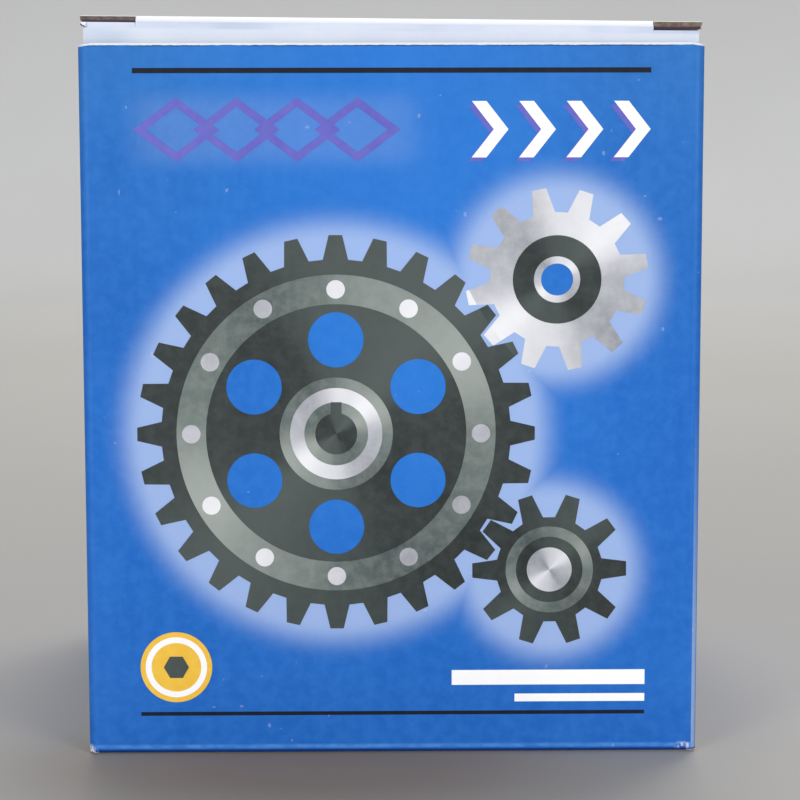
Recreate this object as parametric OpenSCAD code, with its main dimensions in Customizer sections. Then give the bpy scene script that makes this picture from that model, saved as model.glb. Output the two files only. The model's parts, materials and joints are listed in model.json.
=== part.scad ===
// Printed corrugated carton with a hinged tuck-in lid.
// The origin is on the ground under the middle of the carton, and the front panel faces -Y.

/* [Carton] */
// Width across the front panel, outside
carton_w = 145; // [140:1:180]
// Depth from the front panel to the back panel, outside
carton_d = 145; // [110:1:180]
// Height of the front panel up to its free top edge
carton_h = 168; // [150:1:220]
// Thickness of the corrugated board
board_t = 1.7; // [1.4:0.1:2.2]
// Inside radius of every folded crease
crease_in_r = 0.5; // [0.3:0.1:1]
// Fall of the front panel's top edge at each corner
corner_fall = 0.8; // [0.2:0.1:1.4]
// Length of top edge over which it falls
corner_fall_w = 3.2; // [2:0.2:8]
// Height of the upright creases' lower ends above the ground
corner_lift = 0.6; // [0.2:0.1:1.5]

/* [Glue lap] */
// Width of the lap that is glued inside the back panel
lap_w = 28; // [15:1:40]
// Length cut away at a slant from each end of the lap
lap_taper = 7; // [3:1:12]
// Setback of the back panel's raw edge from the left side's face
seam_setback = 0.4; // [0.1:0.1:1]

/* [Lid] */
// Angle in degrees at which the lid stands open at rest
lid_ajar = 1.74; // [0.8:0.02:4]
// Gap between the lid's hinge crease halves
hinge_gap = 0.3; // [0.2:0.05:0.6]
// How far the closure panel stops short of each side panel's face
closure_side_gap = 0.5; // [0.2:0.1:1.5]
// Length of the tuck flap below its fold
tuck_l = 20; // [14:1:28]
// How far the tuck flap's shoulders stop short of each side panel's face
tuck_shoulder_gap = 0.9; // [0.4:0.1:1.6]
// Gap between the tuck flap and the walls that it slides behind
tuck_gap = 0.4; // [0.3:0.1:1]
// Least gap between the front panel and the tuck flap's free edge as the lid swings
swing_gap = 0.8; // [0.4:0.1:2]
// Slant of the tuck flap's ends, over its whole length
tuck_taper = 2.5; // [1:0.5:6]
// Radius at the tuck flap's free corners
tuck_corner_r = 9; // [3:1:12]
// Length of the lock slit at the left end of the fold
left_slit_l = 12.8; // [8:0.2:20]
// Length of the lock slit at the right end of the fold
right_slit_l = 11.4; // [8:0.2:20]
// Width of the lock slits
slit_w = 0.5; // [0.3:0.1:1]

/* [Dust flaps] */
// Length of each dust flap from the side panel's face
dust_l = 50; // [35:1:65]
// Gap between the closed lid and the dust flaps
dust_drop = 0.3; // [0.2:0.1:0.8]
// Gap between the dust flaps and the tuck flap
dust_front_gap = 2.4; // [1.6:0.2:5]
// Gap between the dust flaps and the creases at the back
dust_back_gap = 0.4; // [0.2:0.2:3]
// Length of each dust flap's square root, before its slanted ends
dust_root_l = 14; // [10:1:24]
// Slant at each dust flap's ends
dust_taper = 9; // [4:1:16]
// Radius at each dust flap's free corners
dust_corner_r = 6; // [3:1:10]
// Radius where each dust flap's slanted ends begin
dust_root_r = 3; // [1:1:6]

/* [Base flaps] */
// How far the outer base flaps stop short of each side panel's face
base_side_gap = 1; // [0.5:0.1:2]
// Gap between the two outer base flaps
base_seam_gap = 0.8; // [0.5:0.1:2]
// Offset of the interlocking seam from the middle of the base
base_seam_step = 12; // [6:1:20]
// Half the width of the seam's slanted middle
base_seam_slant = 7; // [4:1:14]
// Length of each inner base flap from the side panel's face
inner_flap_l = 58; // [45:1:66]
// Gap between the inner base flaps and the upright creases
inner_flap_gap = 0.4; // [0.2:0.1:2]
// Length cut away at a slant from the inner base flaps' corners
inner_flap_taper = 34; // [20:1:42]

/* [Print] */
// Thickness of a printed layer
ink_t = 0.06; // [0.05:0.01:0.1]
// How far the ground colour turns under the base creases, in degrees
ground_wrap = 60; // [30:5:65]
// Margin at the sides of the print
print_margin = 12.5; // [8:0.5:16]
// Thickness of the upper rule
upper_rule_t = 1.2; // [0.6:0.1:2]
// Distance of the upper rule below the top edge
upper_rule_drop = 6.5; // [5:0.5:8]
// Thickness of the lower rule
lower_rule_t = 0.9; // [0.6:0.1:1.6]
// Height of the lower rule above the base
lower_rule_rise = 9.5; // [7:0.5:10]
// Distance from the top edge to the middle of the heading row
heading_drop = 19.5; // [18:0.5:21]
// Height of the diamonds in the heading row
diamond_h = 15; // [10:0.5:17]
// Width of each diamond
diamond_w = 20; // [12:0.5:22]
// Width of the diamonds' lines
diamond_line = 2.3; // [1.4:0.1:3]
// Number of diamonds
diamond_count = 4; // [2:1:4]
// Distance from one diamond to the next
diamond_pitch = 14; // [11:0.5:15]
// Height of each chevron in the heading row
chevron_h = 13; // [8:0.5:16]
// Length of each chevron
chevron_l = 8.5; // [6:0.5:9.5]
// Thickness of each chevron's arms along the row
chevron_arm = 3.4; // [2:0.2:4]
// Number of chevrons
chevron_count = 4; // [2:1:4]
// Distance from one chevron to the next
chevron_pitch = 11; // [10:0.5:12]
// Offset of the chevrons' shadows
shadow_offset = 0.9; // [0.5:0.1:1.4]
// Width of the upper printed bar
wide_bar_w = 46; // [30:1:50]
// Height of the upper printed bar
wide_bar_h = 3.6; // [2:0.2:4.2]
// Width of the lower printed bar
narrow_bar_w = 31; // [20:1:50]
// Height of the lower printed bar
narrow_bar_h = 1.9; // [1:0.1:2.4]
// Gap between the bars, and between the lower bar and the rule
bar_gap = 2.2; // [1.4:0.1:2.6]
// Radius of the round badge
badge_r = 8.5; // [5:0.5:9.5]
// Gap between the badge and the lower rule
badge_gap = 2.4; // [1:0.2:4]
// Width of the coloured rim outside the badge's pale ring
badge_rim = 1.2; // [0.6:0.1:1.6]
// Width of the badge's pale ring
badge_ring = 1.4; // [0.8:0.1:1.6]
// Radius of the six-sided mark in the badge
badge_mark_r = 3; // [1.5:0.1:3.4]

/* [Gear motif] */
// Gap between the gears and the print above and below them
motif_gap = 5; // [3:0.5:8]
// Tooth size as pitch diameter over tooth count, before the gears are fitted to their space
gear_module = 3.2; // [3:0.1:3.5]
// Teeth on the large gear
large_teeth = 28; // [20:1:29]
// Teeth on the bright gear
bright_teeth = 12; // [9:1:13]
// Teeth on the small dark gear
small_teeth = 10; // [8:1:11]
// Direction from the large gear to the bright gear, in degrees
bright_angle = 35; // [30:1:45]
// Direction from the large gear to the small dark gear, in degrees
small_angle = -33; // [-36:1:-20]
// Radius of the circle on which the large gear's windows lie
window_ring_r = 22.5; // [21:0.5:24]
// Radius of each window
window_r = 6.6; // [4:0.2:7]
// Radius of the large gear's hub
hub_r = 13.5; // [9:0.5:14]
// Radius of the large gear's shaft hole
shaft_r = 5; // [3:0.5:6]
// Width and height of the keyway above the shaft hole
key_w = 2.6; // [1.6:0.2:4]
// Radius of the middle of the large gear's bolt ring
bolt_ring_r = 34.5; // [33:0.5:35]
// Radius of each bolt head on the bolt ring
bolt_r = 2.2; // [1.4:0.2:2.6]
// Width of the paler band that the bolt heads lie on
bolt_band_w = 7; // [5.6:0.2:7.4]
// Number of windows in the large gear
window_count = 6; // [4:1:6]
// Number of bolt heads on the bolt ring
bolt_count = 12; // [6:1:16]
// Outside radius of the bright ring on the hub
hub_ring_r = 11; // [8.8:0.2:11.4]
// Width of the bright ring on the hub
hub_ring_w = 3.4; // [1:0.2:3.4]
// Outside radius of the dark ring on the bright gear
bright_ring_r = 10.5; // [7:0.5:11]
// Width of the dark ring on the bright gear
bright_ring_w = 5; // [2:0.5:5]
// Radius of the bright gear's shaft hole
bright_hole_r = 3.8; // [2:0.2:4.4]
// Outside radius of the paler ring on the small dark gear
small_ring_r = 10.5; // [8:0.5:11]
// Width of the paler ring on the small dark gear
small_ring_w = 2.5; // [1:0.5:2.5]
// Radius of the bright cap on the small dark gear
small_cap_r = 5.4; // [2:0.2:6]

/* [Hidden] */
$fn = 64;
crease_r = crease_in_r + board_t;
half_w = carton_w / 2;
half_d = carton_d / 2;
lid_top = carton_h + board_t;
dust_top = carton_h - dust_drop;

// The tuck flap leans inwards just enough for its free edge to swing clear of the front panel.
fold_front = -half_d + board_t + tuck_gap;
swing_r = carton_d - board_t;
tuck_reach = swing_r - sqrt(swing_r * swing_r + board_t * board_t - pow(board_t + tuck_l, 2));
tuck_lean = asin((tuck_reach + swing_gap - tuck_gap) / tuck_l);
// The lid's rise at the front sets how much of the tuck flap shows above the front panel.
front_rise = carton_d * sin(lid_ajar);
shoulder_l = front_rise + board_t - crease_r - tuck_gap - board_t * sin(tuck_lean);

dust_front = fold_front + board_t + dust_front_gap;
back_crease = half_d - board_t - crease_r;
dust_back = back_crease - dust_back_gap;

lap_low = board_t + corner_lift;
// The left side's print ends where its crease tucks in behind the back panel.
lap_print_from = 112;
panel_left = -half_w + print_margin;
panel_right = half_w - print_margin;
heading_z = carton_h - heading_drop;
addendum = 0.8 * gear_module;
dedendum = gear_module;
// Half the width of a tooth at its tip and at its root, as shares of the angle from tooth to tooth.
tooth_tip = 0.15;
tooth_root = 0.32;
corner_steps = 6;

// The gears are drawn around the large one's centre and then fitted between the margins, the heading
// row and the bars.
bright_centre = beside_large(bright_angle, bright_teeth);
small_centre = beside_large(small_angle, small_teeth);
left_reach = tip_r(large_teeth);
right_reach = max(bright_centre[0] + tip_r(bright_teeth), small_centre[0] + tip_r(small_teeth));
top_reach = max(left_reach, bright_centre[1] + tip_r(bright_teeth));
low_reach = max(left_reach, tip_r(small_teeth) - small_centre[1]);
bars_top = lower_rule_rise + lower_rule_t + narrow_bar_h + wide_bar_h + 2 * bar_gap;
motif_low = bars_top + motif_gap;
motif_high = heading_z - max(diamond_h, chevron_h) / 2 - motif_gap;
motif_fit = min((panel_right - panel_left) / (left_reach + right_reach),
                (motif_high - motif_low) / (top_reach + low_reach));
motif_centre = [panel_left + left_reach * motif_fit,
                (motif_low + motif_high + (low_reach - top_reach) * motif_fit) / 2];
badge_centre = [panel_left + badge_r, lower_rule_rise + lower_rule_t + badge_gap + badge_r];

kraft = [0.62, 0.49, 0.35];
white_board = [0.87, 0.89, 0.91];
ground_blue = [0.19, 0.46, 0.82];
rule_navy = [0.07, 0.1, 0.17];
ink_violet = [0.37, 0.37, 0.73];
ink_white = [0.97, 0.97, 0.98];
gear_dark = [0.19, 0.22, 0.23];
gear_mid = [0.36, 0.41, 0.41];
gear_silver = [0.72, 0.73, 0.76];
badge_yellow = [0.93, 0.74, 0.24];

// Points on the rounding of corner b, which lies between a and c; the third number is the radius.
function unit(v) = v / norm(v);
function flat2(p) = [p[0], p[1]];
function corner_points(a, b, c) =
    b[2] == 0 ? [flat2(b)] :
    let (u = unit(flat2(a) - flat2(b)), w = unit(flat2(c) - flat2(b)), half = acos(u * w) / 2,
         centre = flat2(b) + unit(u + w) * b[2] / sin(half),
         from = flat2(b) + u * b[2] / tan(half) - centre, to = flat2(b) + w * b[2] / tan(half) - centre,
         start = atan2(from[1], from[0]), turn = (atan2(to[1], to[0]) - start + 540) % 360 - 180)
    [for (i = [0:corner_steps], angle = start + turn * i / corner_steps)
        centre + b[2] * [cos(angle), sin(angle)]];
function rounded(corners) =
    let (n = len(corners))
    [for (i = [0:n - 1]) each corner_points(corners[(i + n - 1) % n], corners[i], corners[(i + 1) % n])];

// Centre of a gear that meshes with the large one, and the turn that puts its teeth in the gaps.
function pitch_r(teeth) = teeth * gear_module / 2;
function tip_r(teeth) = pitch_r(teeth) + addendum;
function beside_large(angle, teeth) =
    (pitch_r(large_teeth) + pitch_r(teeth)) * [cos(angle), sin(angle)];
function mesh_turn(angle, teeth) = angle + 180 + 180 / teeth + angle * large_teeth / teeth;

// One folded corner of board, between two directions around the crease's axis.
module bend(from, to, outer = crease_r, thickness = board_t) {
    reach = 2 * outer;
    middle = (from + to) / 2;
    intersection() {
        difference() {
            circle(outer);
            circle(outer - thickness);
        }
        polygon([[0, 0], reach * [cos(from), sin(from)], reach * [cos(middle), sin(middle)],
                 reach * [cos(to), sin(to)]]);
    }
}

// Stands a drawing of a cross section upright: its Y becomes Z, and it runs along X or along Y.
module along_x(from, to) translate([from, 0, 0]) rotate([90, 0, 90]) linear_extrude(to - from) children();
module along_y(from, to) translate([0, to, 0]) rotate([90, 0, 0]) linear_extrude(to - from) children();
module upright(from, to) translate([0, 0, from]) linear_extrude(to - from) children();
module both_sides() {
    children();
    mirror([1, 0, 0]) children();
}

// Cuts the slanted ends off the top edge of the front panel, on the board and on its print.
module corner_fall_cut() {
    both_sides()
        along_y(-half_d - board_t, -half_d + crease_r)
            polygon([[half_w - corner_fall_w, carton_h], [half_w + board_t, carton_h - corner_fall],
                     [half_w + board_t, carton_h + board_t], [half_w - corner_fall_w, carton_h + board_t]]);
}

module front_panel() {
    difference() {
        union() {
            upright(crease_r, carton_h)
                translate([-half_w + crease_r, -half_d]) square([carton_w - 2 * crease_r, board_t]);
            upright(corner_lift, carton_h)
                both_sides() translate([half_w - crease_r, -half_d + crease_r]) bend(270, 360);
        }
        corner_fall_cut();
    }
}

// The left side ends early, where its crease turns into the glue lap behind the back panel.
module side_panels() {
    low = board_t + crease_r;
    high = dust_top - crease_r;
    upright(low, high) {
        translate([half_w - board_t, -half_d + crease_r]) square([board_t, carton_d - 2 * crease_r]);
        translate([-half_w, -half_d + crease_r]) square([board_t, back_crease + half_d - crease_r]);
    }
}

module back_panel() {
    upright(crease_r, lid_top - crease_r)
        translate([-half_w + seam_setback, half_d - board_t])
            square([carton_w - crease_r - seam_setback, board_t]);
    upright(corner_lift, dust_top - crease_r)
        translate([half_w - crease_r, half_d - crease_r]) bend(0, 90);
}

// The lap goes on from the left side's crease, and stands just clear of the outer base flap.
module glue_lap() {
    low = lap_low;
    high = dust_top - crease_r;
    near = -half_w + crease_r;
    far = -half_w + lap_w;
    upright(low, high) translate([near, back_crease]) bend(90, 180);
    along_y(half_d - 2 * board_t, half_d - board_t)
        polygon([[near, low], [far, low + lap_taper], [far, high - lap_taper], [near, high]]);
}

// One half of the lid's hinge crease. The gap at the mitre keeps the body's half off the lid's half.
module hinge_half(from, to) {
    along_x(-half_w + closure_side_gap, half_w - crease_r)
        translate([half_d - crease_r, lid_top - crease_r]) difference() {
            bend(from, to);
            rotate(45) translate([0, -hinge_gap / 2]) square([2 * crease_r, hinge_gap]);
        }
}

module dust_flap() {
    root = half_w - crease_r;
    free = half_w - dust_l;
    along_y(dust_front, dust_back) translate([root, dust_top - crease_r]) bend(0, 90);
    upright(dust_top - board_t, dust_top)
        polygon(rounded([[root, dust_front, 0], [root, dust_back, 0],
                         [half_w - dust_root_l, dust_back, dust_root_r],
                         [free, dust_back - dust_taper, dust_corner_r],
                         [free, dust_front + dust_taper, dust_corner_r],
                         [half_w - dust_root_l, dust_front, dust_root_r]]));
}

// One outer base flap. The other is the same flap turned half round, and their edges interlock.
module outer_base_flap() {
    side = half_w - base_side_gap;
    root = -half_d + crease_r;
    edge = base_seam_gap / 2;
    along_x(-half_w + crease_r, half_w - crease_r) translate([root, crease_r]) bend(180, 270);
    upright(0, board_t)
        polygon([[-side, root], [side, root], [side, -base_seam_step - edge],
                 [base_seam_slant, -base_seam_step - edge], [-base_seam_slant, base_seam_step - edge],
                 [-side, base_seam_step - edge]]);
}

module inner_base_flap() {
    root = half_w - crease_r;
    free = half_w - inner_flap_l;
    front = -half_d + crease_r + inner_flap_gap;
    back = back_crease - inner_flap_gap;
    along_y(front, back) translate([root, board_t + crease_r]) bend(270, 360);
    upright(board_t, 2 * board_t)
        polygon([[root, front], [root, back], [free, back - inner_flap_taper],
                 [free, front + inner_flap_taper]]);
}

module carton_body() {
    color(kraft) {
        front_panel();
        side_panels();
        back_panel();
        glue_lap();
        hinge_half(0, 45);
        both_sides() dust_flap();
        outer_base_flap();
        rotate(180) outer_base_flap();
        both_sides() inner_base_flap();
    }
}

// The tuck flap as it hangs under its fold, before it leans: shoulders above, tapered below.
module tuck_flap() {
    shoulder = half_w - tuck_shoulder_gap;
    inside = half_w - board_t - tuck_gap;
    slit_z = crease_r - board_t - slit_w;
    right_half = [[shoulder, slit_z, 0], [shoulder, -shoulder_l, 0], [inside, -shoulder_l - tuck_gap, 0],
                  [inside - tuck_taper, -tuck_l, tuck_corner_r]];
    left_half = [for (i = [3:-1:0]) [-right_half[i][0], right_half[i][1], right_half[i][2]]];
    under_fold = [[-half_w + left_slit_l, slit_z, 0], [-half_w + left_slit_l, 0, 0],
                  [half_w - right_slit_l, 0, 0], [half_w - right_slit_l, slit_z, 0]];
    translate([0, -crease_r, 0]) rotate([90, 0, 0]) mirror([0, 0, 1])
        linear_extrude(board_t) polygon(rounded(concat(right_half, left_half, under_fold)));
}

module closure_panel() {
    side = half_w - closure_side_gap;
    upright(carton_h, lid_top)
        polygon([[-side, half_d - crease_r], [-side, fold_front], [-half_w + left_slit_l, fold_front],
                 [-half_w + left_slit_l, fold_front + crease_r],
                 [half_w - right_slit_l, fold_front + crease_r],
                 [half_w - right_slit_l, fold_front], [side, fold_front], [side, half_d - crease_r]]);
    hinge_half(45, 90);
}

module lid() {
    color(white_board)
        translate([0, half_d, lid_top]) rotate([-lid_ajar, 0, 0]) translate([0, -half_d, -lid_top]) {
            closure_panel();
            translate([0, fold_front + crease_r, lid_top - crease_r]) {
                along_x(-half_w + left_slit_l, half_w - right_slit_l) bend(90, 180 + tuck_lean);
                rotate([tuck_lean, 0, 0]) tuck_flap();
            }
        }
}

// A thin skin of ground colour on the four sides, a little way round the base creases.
module print_ground() {
    skin_r = crease_r + ink_t;
    color(ground_blue) {
        difference() {
            union() {
                upright(crease_r, carton_h)
                    translate([-half_w + crease_r, -half_d - ink_t])
                        square([carton_w - 2 * crease_r, ink_t]);
                upright(corner_lift, carton_h)
                    both_sides()
                        translate([half_w - crease_r, -half_d + crease_r]) bend(270, 360, skin_r, ink_t);
            }
            corner_fall_cut();
        }
        upright(board_t + crease_r, dust_top - crease_r) {
            translate([half_w, -half_d + crease_r]) square([ink_t, carton_d - 2 * crease_r]);
            translate([-half_w - ink_t, -half_d + crease_r])
                square([ink_t, back_crease + half_d - crease_r]);
        }
        upright(corner_lift, dust_top - crease_r)
            translate([half_w - crease_r, half_d - crease_r]) bend(0, 90, skin_r, ink_t);
        upright(lap_low, dust_top - crease_r)
            translate([-half_w + crease_r, back_crease]) bend(lap_print_from, 180, skin_r, ink_t);
        upright(crease_r, lid_top - crease_r)
            translate([-half_w + seam_setback, half_d])
                square([carton_w - crease_r - seam_setback, ink_t]);
        for (turn = [0, 180])
            rotate(turn) along_x(-half_w + crease_r, half_w - crease_r)
                translate([-half_d + crease_r, crease_r]) bend(180, 180 + ground_wrap, skin_r, ink_t);
    }
}

// One printed shape on the front panel, drawn as seen from the front. Layer 1 lies on the ground.
module ink(layer) translate([0, -half_d - layer * ink_t, 0]) rotate([90, 0, 0]) linear_extrude(ink_t)
    children();

module print_rules() {
    rule_l = panel_right - panel_left;
    color(rule_navy) ink(1) {
        translate([panel_left, carton_h - upper_rule_drop]) square([rule_l, upper_rule_t]);
        translate([panel_left, lower_rule_rise]) square([rule_l, lower_rule_t]);
    }
}

module diamond(w, h) polygon([[-w / 2, 0], [0, -h / 2], [w / 2, 0], [0, h / 2]]);

module chevrons() {
    for (i = [0:chevron_count - 1])
        translate([panel_right - chevron_l - i * chevron_pitch, heading_z])
            polygon([[0, -chevron_h / 2], [chevron_arm, -chevron_h / 2], [chevron_l, 0],
                     [chevron_arm, chevron_h / 2], [0, chevron_h / 2], [chevron_l - chevron_arm, 0]]);
}

module print_violet() {
    inner = 1 - 2 * diamond_line / diamond_h;
    color(ink_violet) ink(1) {
        for (i = [0:diamond_count - 1])
            translate([panel_left + diamond_w / 2 + i * diamond_pitch, heading_z])
                difference() {
                    diamond(diamond_w, diamond_h);
                    diamond(diamond_w * inner, diamond_h * inner);
                }
        difference() {
            translate([-shadow_offset, -shadow_offset]) chevrons();
            chevrons();
        }
    }
}

module print_white() {
    bar_z = lower_rule_rise + lower_rule_t + bar_gap;
    color(ink_white) {
        ink(1) {
            chevrons();
            translate([panel_right - narrow_bar_w, bar_z]) square([narrow_bar_w, narrow_bar_h]);
            translate([panel_right - wide_bar_w, bar_z + narrow_bar_h + bar_gap])
                square([wide_bar_w, wide_bar_h]);
        }
        ink(2) translate(badge_centre) ring(badge_r - badge_rim, badge_ring);
    }
}

// One printed shape of the gears, drawn around the large gear's centre.
module gear_ink(layer) ink(layer) translate(motif_centre) scale(motif_fit) children();

// A gear's outline, with straight-sided teeth on its pitch circle.
module gear(teeth) {
    tip = tip_r(teeth);
    root = pitch_r(teeth) - dedendum;
    step = 360 / teeth;
    edges = [[-tooth_root, root], [-tooth_tip, tip], [tooth_tip, tip], [tooth_root, root]];
    polygon([for (i = [0:teeth - 1], e = edges)
        e[1] * [cos((i + e[0]) * step), sin((i + e[0]) * step)]]);
}

module on_circle(count, r) for (i = [0:count - 1]) rotate(90 + i * 360 / count) translate([r, 0]) children();

module ring(outer, width) difference() {
    circle(outer);
    circle(outer - width);
}

module keyed_shaft() {
    circle(shaft_r);
    translate([-key_w / 2, 0]) square([key_w, shaft_r + key_w]);
}

module print_dark() {
    color(gear_dark) {
        gear_ink(1) difference() {
            gear(large_teeth);
            on_circle(window_count, window_ring_r) circle(window_r);
        }
        gear_ink(1) translate(small_centre) rotate(mesh_turn(small_angle, small_teeth))
            gear(small_teeth);
        gear_ink(2) translate(bright_centre) ring(bright_ring_r, bright_ring_w);
        ink(2) translate(badge_centre) circle(badge_mark_r, $fn = 6);
    }
}

module print_mid() {
    color(gear_mid) {
        gear_ink(2) {
            ring(bolt_ring_r + bolt_band_w / 2, bolt_band_w);
            difference() {
                circle(hub_r);
                keyed_shaft();
            }
        }
        gear_ink(2) translate(small_centre) ring(small_ring_r, small_ring_w);
    }
}

module print_silver() {
    color(gear_silver) {
        gear_ink(3) {
            on_circle(bolt_count, bolt_ring_r) circle(bolt_r);
            difference() {
                ring(hub_ring_r, hub_ring_w);
                keyed_shaft();
            }
        }
        gear_ink(1) translate(bright_centre) rotate(mesh_turn(bright_angle, bright_teeth)) difference() {
            gear(bright_teeth);
            circle(bright_hole_r);
        }
        gear_ink(2) translate(small_centre) circle(small_cap_r);
    }
}

module print_yellow() {
    color(badge_yellow) ink(1) translate(badge_centre) circle(badge_r);
}

carton_body();
lid();
print_ground();
print_rules();
print_violet();
print_white();
print_dark();
print_mid();
print_silver();
print_yellow();
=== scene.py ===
# A printed corrugated carton with a hinged tuck-in lid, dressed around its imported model.
import json
from math import atan2, cos, hypot, pi, radians, sin
import bmesh
import bpy
from mathutils import Matrix, Vector


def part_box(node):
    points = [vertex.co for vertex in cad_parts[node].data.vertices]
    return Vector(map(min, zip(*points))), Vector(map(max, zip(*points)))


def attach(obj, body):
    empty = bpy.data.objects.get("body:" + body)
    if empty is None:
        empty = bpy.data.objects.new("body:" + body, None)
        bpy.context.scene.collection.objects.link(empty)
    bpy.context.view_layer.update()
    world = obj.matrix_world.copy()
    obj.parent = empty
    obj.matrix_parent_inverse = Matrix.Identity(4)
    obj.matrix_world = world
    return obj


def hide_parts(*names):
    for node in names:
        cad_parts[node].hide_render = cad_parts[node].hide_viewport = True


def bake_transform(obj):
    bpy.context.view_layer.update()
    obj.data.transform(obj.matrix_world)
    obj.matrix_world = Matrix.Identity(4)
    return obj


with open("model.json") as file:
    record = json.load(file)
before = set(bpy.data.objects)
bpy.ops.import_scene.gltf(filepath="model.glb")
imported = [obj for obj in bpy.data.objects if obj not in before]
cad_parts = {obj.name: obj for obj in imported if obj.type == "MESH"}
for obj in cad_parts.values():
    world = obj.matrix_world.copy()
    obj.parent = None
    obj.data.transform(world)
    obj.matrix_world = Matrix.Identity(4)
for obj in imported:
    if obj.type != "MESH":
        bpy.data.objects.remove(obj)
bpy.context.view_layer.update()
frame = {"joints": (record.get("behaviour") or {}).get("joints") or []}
mm = 0.001
snap = 0.04 * mm  # places nearer than this count as one
weld = 0.002 * mm  # points nearer than this are merged
sliver = 0.01 * mm  # takes in what lies right on a cut
smoothAngle = 35  # degrees; a sharper edge stays sharp
xAxis, yAxis, zAxis = Vector((1, 0, 0)), Vector((0, 1, 0)), Vector((0, 0, 1))

board = {
    "thickness": 1.7 * mm,
    "liner": 0.3 * mm,
    "fluting": 0.2 * mm,  # paper of the wavy middle layer
    "pitch": 3.2 * mm,  # from wave to wave
    "waveSteps": 10,
    "waveDraft": 10 * mm,  # length of the one wave that is modelled, before it is stretched
    "creaseRadius": 2.2 * mm,  # outside of a fold
    "creaseSteps": 8,
    "crushed": 0.6 * mm,  # board flattened on each side of a fold
    "roundSteps": 6,
    "hingeLead": 0.1 * mm,  # flat run on each side of the hinge crease
}

# The walls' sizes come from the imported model
halfWidth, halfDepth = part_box("carton_body")[1].x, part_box("carton_body")[1].y
creaseRadius = board["creaseRadius"]
coreThickness = board["thickness"] - 2 * board["liner"]
outerDepth, innerDepth = board["liner"] / 2, board["thickness"] - board["liner"] / 2
foldX, foldY = halfWidth - creaseRadius, halfDepth - creaseRadius
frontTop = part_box("print_ground")[1].z
lidTop = frontTop + board["thickness"]
hinge = Vector(frame["joints"][0]["pos_m"])


# Meshes
def clearSelection():
    if bpy.context.mode != "OBJECT":
        bpy.ops.object.mode_set(mode="OBJECT")
    bpy.ops.object.select_all(action="DESELECT")


def activate(obj):
    clearSelection()
    obj.select_set(True)
    bpy.context.view_layer.objects.active = obj


def startEditing(obj):
    activate(obj)
    bpy.ops.object.mode_set(mode="EDIT")


def near(a, b):
    return abs(a - b) < snap


def everything(middle):
    return True


def addPanel(name, low, high):
    # A flat panel between two corners that share one coordinate
    clearSelection()
    low, high = Vector(low), Vector(high)
    size = high - low
    flat = min(range(3), key=lambda i: abs(size[i]))
    turn = [(0, pi / 2, 0), (pi / 2, 0, 0), (0, 0, 0)][flat]
    bpy.ops.mesh.primitive_plane_add(size=1, location=(low + high) / 2, rotation=turn)
    panel = bpy.context.object
    panel.name = panel.data.name = name
    panel.scale = [(size.z, size.y, 1), (size.x, size.z, 1), (size.x, size.y, 1)][flat]
    bpy.ops.object.transform_apply(location=True, rotation=True, scale=True)
    return panel


def pick(kind, test):
    # Selects what has its middle where the test says
    bpy.ops.mesh.select_mode(type=kind)
    bpy.ops.mesh.select_all(action="DESELECT")
    data = bpy.context.edit_object.data
    mesh = bmesh.from_edit_mesh(data)
    found = 0
    for part in {"VERT": mesh.verts, "EDGE": mesh.edges, "FACE": mesh.faces}[kind]:
        corners = [part] if kind == "VERT" else part.verts
        if test(sum((v.co for v in corners), Vector()) / len(corners)):
            part.select_set(True)
            found += 1
    mesh.select_flush_mode()
    bmesh.update_edit_mesh(data)
    return found


def selectAll():
    bpy.ops.mesh.select_all(action="SELECT")


def shift(move):
    bpy.ops.transform.translate(value=move)


def extrude(move):
    bpy.ops.mesh.extrude_region_move(TRANSFORM_OT_translate={"value": move})


def turnEdge(axis, degrees, centre, steps=board["creaseSteps"]):
    # The spin operator turns clockwise for a positive angle
    bpy.ops.mesh.spin(steps=steps, angle=-radians(degrees), center=centre, axis=axis)


def cut(test, point, outward, drop=True, fill=False):
    # Cuts the picked faces along a plane, and drops what lies outside it. The faces are deleted here,
    # because clear_outer would also take the uncut neighbours of a corner that goes. On a solid, fill
    # closes the cut
    if not pick("FACE", test):
        return
    bpy.ops.mesh.bisect(plane_co=point, plane_no=outward, clear_outer=fill, use_fill=fill,
                        threshold=1e-7)
    if drop and not fill and pick("FACE", lambda m: test(m) and (m - Vector(point)).dot(outward) > 0):
        bpy.ops.mesh.delete(type="FACE")


def trimTo(corners, place, test):
    # Corners go round anticlockwise as (u, v, radius); place puts u and v in space
    origin = place(0, 0)
    outward = []
    for (u0, v0, _), (u1, v1, _) in zip(corners, corners[1:] + corners[:1]):
        length = hypot(u1 - u0, v1 - v0)
        outward.append(((v1 - v0) / length, (u0 - u1) / length))
    for i, (u, v, radius) in enumerate(corners):
        before, after = outward[i - 1], outward[i]
        cut(test, place(u, v), place(*after) - origin)
        if radius:
            share = radius / (1 + before[0] * after[0] + before[1] * after[1])
            centre = (u - (before[0] + after[0]) * share, v - (before[1] + after[1]) * share)
            start = atan2(before[1], before[0])
            sweep = (atan2(after[1], after[0]) - start + pi) % (2 * pi) - pi
            for step in range(1, board["roundSteps"]):
                angle = start + sweep * step / board["roundSteps"]
                du, dv = cos(angle), sin(angle)
                cut(test, place(centre[0] + du * radius, centre[1] + dv * radius),
                    place(du, dv) - origin)


def thicken(obj, thickness):
    # Paper is modelled at its middle, so it grows by the same on both sides
    startEditing(obj)
    selectAll()
    bpy.ops.mesh.delete_loose()
    selectAll()
    bpy.ops.mesh.remove_doubles(threshold=weld)
    bpy.ops.mesh.normals_make_consistent(inside=False)
    bpy.ops.object.mode_set(mode="OBJECT")
    solid = obj.modifiers.new("paper", "SOLIDIFY")
    solid.thickness, solid.offset, solid.use_even_offset = thickness, 0, True
    bpy.ops.object.modifier_apply(modifier=solid.name)
    return obj


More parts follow.
